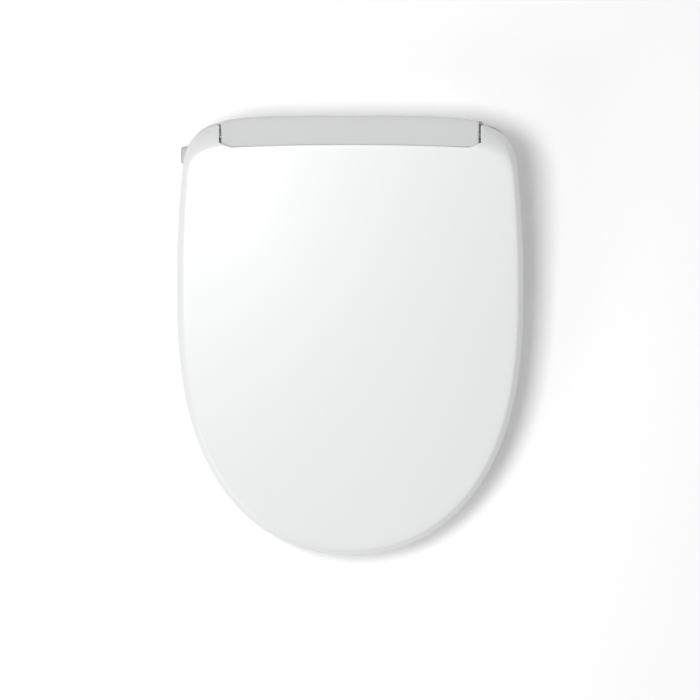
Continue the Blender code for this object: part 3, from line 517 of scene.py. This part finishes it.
WHITE = (0.83, 0.835, 0.84)
SKINS = {
    "gloss_white": moulded("gloss_white_shell", WHITE, 0.30, grain=700.0, strength=0.10,
                           coat=0.25, vary=0.006, rough_vary=0.015),
    # Same white plastic as the lid, painted a little greyer: painted shade that darkens the
    # housing's sloping strip and hump behind the lid.
    "shade_darkened_white": moulded("housing_white_shell", (0.775, 0.78, 0.785), 0.36, grain=900.0,
                             strength=0.18, coat=0.1, vary=0.008, rough_vary=0.015),
    "satin_white": moulded("satin_white_shell", (0.80, 0.805, 0.81), 0.44, grain=1500.0,
                           depth=0.00004, strength=0.35, vary=0.02),
    "grey_plastic": moulded("grey_moulding", (0.50, 0.51, 0.525), 0.46, grain=1600.0,
                            depth=0.00004, strength=0.4, vary=0.05),
    "dark_plastic": moulded("dark_moulding", (0.075, 0.077, 0.082), 0.50, grain=1500.0,
                            depth=0.00005, strength=0.5, vary=0.15),
    "grey_rubber": rubber("grey_rubber_pad", (0.40, 0.41, 0.42)),
    "black_rubber": rubber("black_rubber_bush", (0.025, 0.025, 0.027)),
    "smoke_lens": lens("smoked_window", (0.012, 0.010, 0.014), 0.08, 0.0),
    "milk_lens": lens("milky_window", (0.85, 0.90, 0.95), 0.22, 0.35),
    "water_blue": moulded("blue_moulding", (0.16, 0.30, 0.50), 0.36, vary=0.06, coat=0.1),
    "board_green": circuit_board("lacquered_board"),
    "steel": metal("turned_steel", (0.60, 0.60, 0.61), 0.28),
    "copper_foil": metal("etched_copper", (0.72, 0.42, 0.24), 0.34, (500.0, 60.0, 500.0)),
}


def dress(thing, slot):
    thing.data.materials.clear()
    thing.data.materials.append(SKINS[slot])


# ---------------------------------------------------------------- lid


def lid_egg(inward, rear_reach, rear_powers):
    """The lid's plan curve moved inward, with its own reach and corners behind."""
    return egg(HALF_WIDTH - inward, WIDEST_Y, FRONT_REACH - inward, rear_reach, FRONT_POWERS,
               rear_powers, REAR_TAPER)


lid_curve = lid_egg(0.0, REAR_REACH, REAR_POWERS)
crease_curve = lid_egg(CREASE_IN, CREASE_Y - WIDEST_Y, (9.0, 11.0))
liner_curve = lid_egg(LINER_INSET, LINER_REAR_REACH, (9.0, 12.0))
seat_curve = lid_egg(SEAT_INSET, SEAT_REAR_Y - WIDEST_Y, (8.0, 12.0))
opening_curve = egg(*OPENING.values(), (2.2, 2.2), (2.3, 2.3))


class PlanLine:
    """A closed plan curve that tells how far outside it a point lies."""

    def __init__(self, curve):
        self.points = dense_points(curve)
        self.normals = []
        for before, after in zip(self.points[-1:] + self.points[:-1],
                                 self.points[1:] + self.points[:1]):
            along = (after - before).normalized()
            self.normals.append(Vector((along.y, -along.x)))
        self.tree = KDTree(len(self.points))
        for index, point in enumerate(self.points):
            self.tree.insert((point.x, point.y, 0.0), index)
        self.tree.balance()

    def outside(self, point):
        _, index, _ = self.tree.find((point.x, point.y, 0.0))
        nearest = self.points[index]
        offset = Vector((point.x, point.y)) - nearest
        return offset.dot(self.normals[index])


crease_line = PlanLine(crease_curve)
rim_line = PlanLine(lid_curve)
liner_line = PlanLine(liner_curve)


def plateau_z(point):
    """Height of the lid's flat top over a plan point, with its slight crown."""
    along = (point.y - LID_LOW.y) / (CREASE_Y - LID_LOW.y)
    across = clamp(abs(point.x) / HALF_WIDTH)
    slope = LID_TOP_FRONT + (LID_TOP_REAR - LID_TOP_FRONT) * along
    return slope + LID_CROWN * (1.0 - across ** 2) * math.sin(math.pi * clamp(along))


def ear_drop(point):
    """How far the top falls beyond the soft crease at the lid's rear corners."""
    past = crease_line.outside(point)
    if past <= 0.0:
        return 0.0
    left = max(0.0, -rim_line.outside(point))
    width = past + left
    share = past / width
    return max(0.0, width - EAR_FLAT) * EAR_SLOPE * share * share * (1.9 - 0.9 * share)


def lid_height(point):
    return plateau_z(point) - ear_drop(point)


def skirt_bottom_z(point):
    along = clamp((point.y - LID_LOW.y) / -LID_LOW.y)
    rise = ease(point.y / HINGE.y)
    skirt = SKIRT_FRONT_Z + (SKIRT_REAR_Z - SKIRT_FRONT_Z) * along
    return skirt + (EAR_SKIRT_Z - SKIRT_REAR_Z) * rise


def lid_loop():
    """The lid's outline with the notch for the hump, and how far each point is round it."""
    dense = dense_points(lid_curve)
    half = [p for p in dense[:len(dense) // 2] if p.y < EAR_FRONT_Y or p.x > NOTCH_X]
    half = respaced(half, PLAN_SPACING)
    corner = Vector((NOTCH_X, half[-1].y))
    half = [p for p in half if (p - corner).length > NOTCH_CLEARANCE]
    right = [corner, *[Vector(point) for point in NOTCH_EDGE]]
    left = [Vector((-p.x, p.y)) for p in reversed(right)]
    mirrored = [Vector((-p.x, p.y)) for p in reversed(half[1:])]
    corners = [*half, *right, Vector((0.0, NOTCH_MIDDLE_Y)), *left, *mirrored]
    radii = [0.0] * len(half)
    radii += [*NOTCH_CORNER_RADII, NOTCH_CORNER_RADII[-1], *reversed(NOTCH_CORNER_RADII)]
    radii += [0.0] * len(mirrored)
    loop = respaced(rounded(corners, radii), LOOP_SPACING, closed=True, turn_weight=0.004)
    outer = []
    for point in loop:
        in_notch = abs(point.x) < NOTCH_X + NOTCH_MARGIN and point.y > NOTCH_FRONT_Y
        reach = (Vector((abs(point.x), point.y)) - corner).length
        outer.append(0.0 if in_notch else ease(reach / NOTCH_FADE))
    return loop, outer


def lid_edge_rings(loop, outer):
    """Rings from the side wall over the edge: banded outside, barely rounded in the notch."""
    rings = []
    for step, (inward, depth) in enumerate(OUTER_EDGE):
        turn = math.pi / 2 * step / (len(OUTER_EDGE) - 1)
        insets = [NOTCH_EDGE_RADIUS * (1.0 - math.cos(turn)) * (1.0 - share)
                  + inward * MM * share
                  for share in outer]
        depths = [NOTCH_EDGE_RADIUS * (1.0 - math.sin(turn)) * (1.0 - share)
                  + depth * MM * share
                  for share in outer]
        rings.append([Vector((p.x, p.y, lid_height(p) - low))
                      for p, low in zip(inset(loop, insets), depths)])
    return rings


def lid_bottoms(loop, outer):
    """Height of the lid's lower rim at each point: the skirt, or a thin edge in the notch."""
    bottoms = []
    for point, share in zip(loop, outer):
        thin = lid_height(point) - TOP_THICKNESS
        low = min(skirt_bottom_z(point), thin - EDGE_THICKNESS * share)
        bottoms.append(thin + (low - thin) * share)
    return bottoms


def lid_outside(bm, loop, outer, bottoms):
    """Side wall, edge band and top; gives back the lowest ring."""
    outside = [[Vector((p.x, p.y, z)) for p, z in zip(inset(loop, LIP), bottoms)],
               [Vector((p.x, p.y, z + LIP)) for p, z in zip(loop, bottoms)],
               *lid_edge_rings(loop, outer)]
    rings = [add_ring(bm, ring) for ring in outside]
    for lower, upper in zip(rings, rings[1:]):
        bridge(bm, lower, upper)
    fill_height(bm, rings[-1], [Vector((p.x, p.y)) for p in outside[-1]], lid_height,
                TOP_GRID)
    return rings[0]


def lid_inside(bm, loop, outer, bottoms):
    """Inner wall and underside; gives back the lowest ring."""
    walls = [NOTCH_WALL + (LID_WALL - NOTCH_WALL) * share for share in outer]
    inner = inset(loop, walls)
    further = inset(loop, [wall + INNER_SLOPE * share for wall, share in zip(walls, outer)])
    under = [inset(loop, [wall - LIP for wall in walls]), inner, inner, further]
    heights = [bottoms, [z + LIP for z in bottoms],
               [max(lid_height(p) - INNER_WALL_DEPTH - EDGE_THICKNESS * share, z + LIP * 1.5)
                for p, share, z in zip(inner, outer, bottoms)],
               [lid_height(p) - INNER_TOP_DEPTH - INNER_TOP_DROP * share
                for p, share in zip(further, outer)]]
    inside = [add_ring(bm, [Vector((p.x, p.y, z)) for p, z in zip(ring, levels)])
              for ring, levels in zip(under, heights)]
    for lower, upper in zip(inside, inside[1:]):
        bridge(bm, lower, upper)
    fill_height(bm, inside[-1], further, lambda p: lid_height(p) - TOP_THICKNESS, UNDER_GRID)
    return inside[0]


def lid_shell():
    loop, outer = lid_loop()
    bottoms = lid_bottoms(loop, outer)
    bm = bmesh.new()
    bridge(bm, lid_outside(bm, loop, outer, bottoms), lid_inside(bm, loop, outer, bottoms))
    shell = new_piece("lid_outer_shell", bm, "lid", ["lid_shell"], 40.0)
    dress(shell, "gloss_white")


def liner_under(point):
    """Underside of the inner panel: a flat border, then a shallow raised field."""
    inside = -liner_line.outside(point)
    step = ease((inside - LINER_BORDER) / LINER_STEP)
    return plateau_z(point) - LINER_LOWER_DEPTH + LINER_FIELD_RISE * step


def lid_liner():
    loop = spread(liner_curve, LINER_POINTS)
    bm = bmesh.new()
    outlines = [inset(loop, inward * MM) for inward, _ in LINER_EDGE]
    rings = []
    for outline, (_, depth) in zip(outlines, LINER_EDGE):
        rings.append(add_ring(bm, [Vector((p.x, p.y, plateau_z(p) - depth * MM))
                                   for p in outline]))
    for lower, upper in zip(rings, rings[1:]):
        bridge(bm, lower, upper)
    fill_height(bm, rings[-1], outlines[-1], liner_under, LINER_GRID)
    fill_height(bm, rings[0], outlines[0], lambda p: plateau_z(p) - LINER_UPPER_DEPTH,
                LINER_BACK_GRID)
    liner = new_piece("lid_inner_panel", bm, "lid", ["lid_liner"], 40.0)
    dress(liner, "satin_white")


# ---------------------------------------------------------------- ring seat

def seat_bottom_z(y):
    """Underside of the ring: flat in front, stepped up over the housing behind."""
    step = ease((y - SEAT_STEP_Y) / SEAT_STEP_LENGTH)
    along = clamp((y - OVER_HOUSING_Y) / OVER_HOUSING_LENGTH)
    over_housing = OVER_HOUSING_Z + OVER_HOUSING_RISE * along
    return SEAT_BOTTOM_Z + (over_housing - SEAT_BOTTOM_Z) * step


def seat_top_z(y):
    along = (y - LID_LOW.y) / (SEAT_REAR_Y - LID_LOW.y)
    return SEAT_TOP_FRONT + (SEAT_TOP_REAR - SEAT_TOP_FRONT) * along


def seat_point(outer, inner, share, height, lower):
    point = outer + (inner - outer) * share
    bottom, top = seat_bottom_z(point.y), seat_top_z(point.y)
    return Vector((point.x, point.y, bottom + (top - bottom) * height - lower))


def smooth_line(knots, steps):
    """Catmull-Rom points through 3-D knots."""
    ends = [knots[0], *knots, knots[-1]]
    line = []
    for first, here, there, last in zip(ends, ends[1:], ends[2:], ends[3:]):
        for step in range(steps):
            t = step / steps
            line.append(0.5 * (2 * here + (there - first) * t
                               + (2 * first - 5 * here + 4 * there - last) * t ** 2
                               + (3 * here - first - 3 * there + last) * t ** 3))
    line.append(knots[-1])
    return line


def seat_columns(count):
    """Section of the upper shell at each place round the ring, outside then inside."""
    outer, inner = spread(seat_curve, count), spread(opening_curve, count)
    insets = sorted({level[1] for level in SEAT_SECTION})
    outers = {step: inset(outer, step) for step in insets}
    inners = {step: inset(inner, -step) for step in insets}
    columns = []
    for index in range(count):
        knots = [seat_point(outers[step][index], inners[step][index], share, height, lower)
                 for share, step, height, lower in SEAT_SECTION]
        first, last = outer[index], inner[index]
        line = [Vector((first.x, first.y, seat_bottom_z(first.y) + 0.0006)),
                *smooth_line(knots, 3),
                Vector((last.x, last.y, seat_bottom_z(last.y) + 0.0006))]
        across = (last - first).normalized().to_3d()
        within = []
        for before, here, after in zip(line[:1] + line[:-1], line, line[1:] + line[-1:]):
            along = after - before
            way = Vector((along.dot(across), along.z)).normalized()
            within.append(here + across * way.y * SEAT_WALL
                          - Vector((0.0, 0.0, way.x * SEAT_WALL)))
        within[0] = line[0] + across * SEAT_WALL
        within[-1] = line[-1] - across * SEAT_WALL
        columns.append([*line, *reversed(within)])
    return columns


def ring_piece(name, columns, replaced, slot):
    """A closed ring from its sections."""
    bm = bmesh.new()
    rings = [add_ring(bm, ring) for ring in zip(*columns)]
    for lower, upper in zip(rings, rings[1:] + rings[:1]):
        bridge(bm, lower, upper)
    piece = new_piece(name, bm, "seat", replaced, 50.0)
    dress(piece, slot)
    return piece


def seat_bottom():
    inward = SEAT_WALL + SEAT_GAP
    outer = inset(spread(seat_curve, LOWER_COLUMNS), inward)
    inner = inset(spread(opening_curve, LOWER_COLUMNS), -inward)
    columns = []
    for first, last in zip(outer, inner):
        column = []
        for share, lift in FLOOR_SECTION:
            point = first + (last - first) * share
            column.append(Vector((point.x, point.y, seat_bottom_z(point.y) + lift * MM)))
        columns.append(column)
    ring_piece("seat_lower_shell", columns, ["seat_bottom_shell"], "satin_white")


def seat_top():
    ring_piece("seat_upper_shell", seat_columns(UPPER_COLUMNS), ["seat_top_shell", "seat_heater"],
               "gloss_white")


# ---------------------------------------------------------------- housing

def closed_rings(rings):
    """A closed mesh of stacked rings, with its first and last ring capped."""
    bm = bmesh.new()
    made = [add_ring(bm, ring) for ring in rings]
    for lower, upper in zip(made, made[1:]):
        bridge(bm, lower, upper)
    bm.faces.new(made[0])
    bm.faces.new(made[-1])
    bmesh.ops.recalc_face_normals(bm, faces=bm.faces)
    if bm.calc_volume(signed=True) < 0.0:
        bmesh.ops.reverse_faces(bm, faces=bm.faces)
    return bm


def scratch_solid(name, bm):
    mesh = bpy.data.meshes.new(name)
    bm.to_mesh(mesh)
    bm.free()
    solid = bpy.data.objects.new(name, mesh)
    bpy.context.scene.collection.objects.link(solid)
    return solid


def combined(first, operations):
    """The first solid after joining or cutting with others, which are used up."""
    for operation, other in operations:
        step = first.modifiers.new("solid", 'BOOLEAN')
        step.operation = operation
        step.object = other
        step.solver = 'EXACT'
        depsgraph = bpy.context.evaluated_depsgraph_get()
        result = bpy.data.meshes.new_from_object(first.evaluated_get(depsgraph))
        first.modifiers.clear()
        first.data = result
        bpy.data.objects.remove(other)
    bm = bmesh.new()
    bm.from_mesh(first.data)
    bmesh.ops.remove_doubles(bm, verts=bm.verts, dist=0.000004)
    bpy.data.objects.remove(first)
    return bm


def housing_curve(inward):
    return egg(HOUSING_HALF_WIDTH - inward, HOUSING_MID_Y, HOUSING_FRONT_REACH - inward,
               HOUSING_REAR_REACH - inward, HOUSING_FRONT_POWERS, HOUSING_REAR_POWERS)


def housing_rear_y(x):
    power_x, power_y = HOUSING_REAR_POWERS
    share = clamp(abs(x) / HOUSING_HALF_WIDTH) ** power_x
    return HOUSING_MID_Y + HOUSING_REAR_REACH * (1.0 - share) ** (1.0 / power_y)


def shoulder_z(point):
    slope_z = SHOULDER_FRONT_Z + SHOULDER_SLOPE * (point.y - SHOULDER_FRONT_Y)
    return min(slope_z, SHOULDER_Z)


def shoulder_solid(inward, low, edge, count, steps=5):
    """The cover without its hump: sheer walls, a rounded edge and a gently sloping top."""
    loop = spread(housing_curve(inward), count)
    rings = [[Vector((p.x, p.y, low)) for p in loop]]
    for step in range(steps + 1):
        turn = math.pi / 2 * step / steps
        sink = edge * (1.0 - math.sin(turn)) + inward
        rings.append([Vector((p.x, p.y, shoulder_z(p) - sink))
                      for p in inset(loop, edge * (1.0 - math.cos(turn)))])
    return closed_rings(rings)


def hump_section(x, inward, foot):
    """Side view of the hump at one place across it, as (y, z), clockwise from its foot."""
    radius = HUMP_RADIUS - inward
    rear = housing_rear_y(x) - inward
    crest = arc((HINGE.y, HINGE.z), radius, 180.0, 118.0, 20)
    fall = (HUMP_REAR_Z - inward - crest[-1].y) / (HUMP_BROW_Y - crest[-1].x)
    brow = Vector((rear, crest[-1].y + fall * (rear - crest[-1].x)))
    before = brow - Vector((HUMP_BROW_REACH, HUMP_BROW_REACH * fall))
    below = brow - Vector((0.0, HUMP_BROW_REACH))
    soft, steps = [], 8
    for step in range(steps + 1):
        t = step / steps
        soft.append(before.lerp(brow, 0.62) * (1 - t) ** 2 + brow * 2 * t * (1 - t)
                    + brow.lerp(below, 0.38) * t * t)
    return [Vector((HINGE.y - radius, foot)), *crest, before, *soft, Vector((rear, foot))]


def hump_solid(inward, foot, end_steps=6, spans=30):
    """The hump between the lid's ears, its end edges rounded over."""
    half = HUMP_X - inward
    stations = []
    for step in range(end_steps + 1):
        turn = math.pi / 2 * step / end_steps
        stations.append((HUMP_END_RADIUS * (1.0 - math.cos(turn)) - half,
                         HUMP_END_RADIUS * (1.0 - math.sin(turn))))
    straight = (half - HUMP_END_RADIUS) * 2
    middle = [(HUMP_END_RADIUS - half + straight * step / spans, 0.0)
              for step in range(1, spans)]
    ends = [(-x, shrink) for x, shrink in reversed(stations)]
    rings = []
    for x, shrink in [*stations, *middle, *ends]:
        section = hump_section(x, inward, foot)
        moved = inset(list(reversed(section)), shrink)
        rings.append([Vector((x, p.x, p.y)) for p in moved])
    return closed_rings(rings)


def rim_solid():
    """The thin wall that rises behind the lid's ears, following the plan."""
    dense = [p for p in dense_points(housing_curve(0.0)) if p.y > RIM_START_Y]
    line = respaced(dense, PLAN_SPACING, turn_weight=0.01)
    ends = [line[0] * 2 - line[1], *line, line[-1] * 2 - line[-2]]
    rings = []
    for before, here, after in zip(ends, line, ends[2:]):
        along = (after - before).normalized()
        inner = Vector((-along.y, along.x))
        rise = ease((here.y - RIM_START_Y) / RIM_RAMP)
        top = RIM_LOW_TOP_Z + (RIM_TOP_Z - RIM_LOW_TOP_Z) * rise
        half_profile = [(0.0, RIM_FOOT_Z), (0.0, top - 0.0014), (0.0004, top - 0.0004),
                        (0.0014, top)]
        profile = [*half_profile, *[(RIM_WALL - step, z) for step, z in reversed(half_profile)]]
        rings.append([Vector((here.x + inner.x * step, here.y + inner.y * step, z))
                      for step, z in profile])
    return closed_rings(rings)


def rod_solid(start, end, radius, sides=40):
    start, end = Vector(start), Vector(end)
    turn = (end - start).to_track_quat('Z', 'Y').to_matrix()
    circle = [Vector((math.cos(math.tau * step / sides), math.sin(math.tau * step / sides), 0.0))
              * radius for step in range(sides)]
    return closed_rings([[end_point + turn @ p for p in circle] for end_point in (start, end)])


def housing_cover():
    cover = scratch_solid("cover", shoulder_solid(0.0, COVER_LOW.z, SHOULDER_EDGE,
                                                  COVER_POINTS))
    hump = scratch_solid("hump", hump_solid(0.0, SHOULDER_Z - HUMP_OVERLAP))
    rim = scratch_solid("rim", rim_solid())
    hollow = scratch_solid("hollow", shoulder_solid(COVER_WALL, HOLLOW_LOW_Z, HOLLOW_EDGE,
                                                    HOLLOW_POINTS))
    inner_hump = scratch_solid("inner_hump", hump_solid(COVER_WALL, INNER_HUMP_Z))
    bore = scratch_solid("bore", rod_solid((-SHAFT_REACH, HINGE.y, HINGE.z),
                                           (SHAFT_REACH, HINGE.y, HINGE.z), SHAFT_HOLE_RADIUS))
    bm = combined(cover, [('UNION', hump), ('UNION', rim), ('DIFFERENCE', hollow),
                          ('DIFFERENCE', inner_hump), ('DIFFERENCE', bore)])
    piece = new_piece("housing_upper_shell", bm, "housing", ["housing_cover"])
    # The housing gets the greyer white, with painted shade in place of a darker plastic.
    dress(piece, "shade_darkened_white")


# ---------------------------------------------------------------- hose elbow

def elbow_outline(shape, radius, count=96):
    """A plan outline round the elbow's leg: round, six-sided or square with soft corners."""
    points = []
    for step in range(count):
        angle = math.tau * step / count
        cosine, sine = math.cos(angle), math.sin(angle)
        if shape == "square":
            reach = radius / (abs(cosine) ** 7 + abs(sine) ** 7) ** (1 / 7)
        elif shape == "nut":
            turn = (angle + math.pi / 6) % (math.pi / 3) - math.pi / 6
            reach = min(radius * 0.985, radius * math.cos(math.pi / 6) / math.cos(turn))
        else:
            reach = radius
        points.append(Vector((ELBOW.x + reach * cosine, ELBOW.y + reach * sine)))
    return points


def inlet_elbow():
    rings = []
    for shape, radius, height in ELBOW_LEVELS:
        rings.append([Vector((p.x, p.y, height * MM))
                      for p in elbow_outline(shape, radius * MM)])
    elbow = scratch_solid("elbow", closed_rings(rings))
    stub = scratch_solid("stub", rod_solid(STUB_START, STUB_END, STUB_RADIUS))
    below, above = (ELBOW.x, ELBOW.y, -0.001), (ELBOW.x, ELBOW.y, ELBOW_BORE_TOP_Z)
    bore = scratch_solid("elbow_bore", rod_solid(below, above, ELBOW_BORE_RADIUS))
    bm = combined(elbow, [('UNION', stub), ('DIFFERENCE', bore)])
    piece = new_piece("hose_elbow", bm, "housing", ["inlet_elbow"])
    dress(piece, "grey_plastic")


# ---------------------------------------------------------------- carried-over parts

def finish_cad_parts():
    """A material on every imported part, and softly rounded edges where it is rigid."""
    for name, thing in frame["nodes"].items():
        slot = SLOTS[name]
        dress(thing, slot)
        thing.data.shade_smooth()
        thing.data.set_sharp_from_angle(angle=math.radians(30.0))
        weld = thing.modifiers.new("weld", 'WELD')
        weld.merge_threshold = 0.00001
        if slot in EDGE_WIDTHS:
            edges = thing.modifiers.new("edges", 'BEVEL')
            edges.width = EDGE_WIDTHS[slot]
            edges.segments = 2
            edges.angle_limit = math.radians(40.0)
            edges.use_clamp_overlap = True
            edges.harden_normals = False


# ---------------------------------------------------------------- studio

def floor():
    bm = bmesh.new()
    bmesh.ops.create_grid(bm, x_segments=24, y_segments=24, size=FLOOR_HALF_WIDTH)
    mesh = bpy.data.meshes.new("studio_floor")
    bm.to_mesh(mesh)
    bm.free()
    sweep = bpy.data.objects.new("studio_floor", mesh)
    bpy.context.scene.collection.objects.link(sweep)
    skin = moulded("pale_studio_floor", (0.90, 0.90, 0.90), 0.85, grain=300.0, strength=0.05,
                   vary=0.004, swirl=2.0)
    shader = skin.node_tree.nodes["Principled BSDF"]
    shader.inputs["Emission Color"].default_value = (1.0, 1.0, 1.0, 1.0)
    shader.inputs["Emission Strength"].default_value = FLOOR_GLOW
    mesh.materials.append(skin)


def area_light(name, direction, size, power):
    """A square soft box on a direction from the object's middle, facing it."""
    light = bpy.data.lights.new(name, 'AREA')
    light.shape = 'SQUARE'
    light.size = size
    light.energy = power
    lamp = bpy.data.objects.new(name, light)
    towards = Vector(direction).normalized()
    lamp.location = LIGHT_AIM + towards * LIGHT_DISTANCE
    lamp.rotation_euler = towards.to_track_quat('Z', 'Y').to_euler()
    bpy.context.scene.collection.objects.link(lamp)


def studio():
    world = bpy.data.worlds.new("studio_air")
    world.use_nodes = True
    background = world.node_tree.nodes["Background"]
    background.inputs["Color"].default_value = (1.0, 1.0, 1.0, 1.0)
    background.inputs["Strength"].default_value = AIR_STRENGTH
    bpy.context.scene.world = world
    bpy.context.scene.view_settings.view_transform = 'Standard'
    area_light("key_soft_box", (-0.22, 0.02, 1.0), 0.8, 42.0)
    area_light("front_left_fill", (-0.90, -0.90, 0.80), 1.2, 11.0)


def camera():
    lens_data = bpy.data.cameras.new("photo_view")
    lens_data.lens = LENS_MM
    lens_data.sensor_width = SENSOR_MM
    lens_data.clip_end = FAR_CLIP
    eye = bpy.data.objects.new("photo_view", lens_data)
    eye.location = EYE
    bpy.context.scene.collection.objects.link(eye)
    bpy.context.scene.camera = eye


# ---------------------------------------------------------------- the whole scene

finish_cad_parts()
lid_shell()
lid_liner()
seat_top()
seat_bottom()
housing_cover()
inlet_elbow()
floor()
studio()
camera()
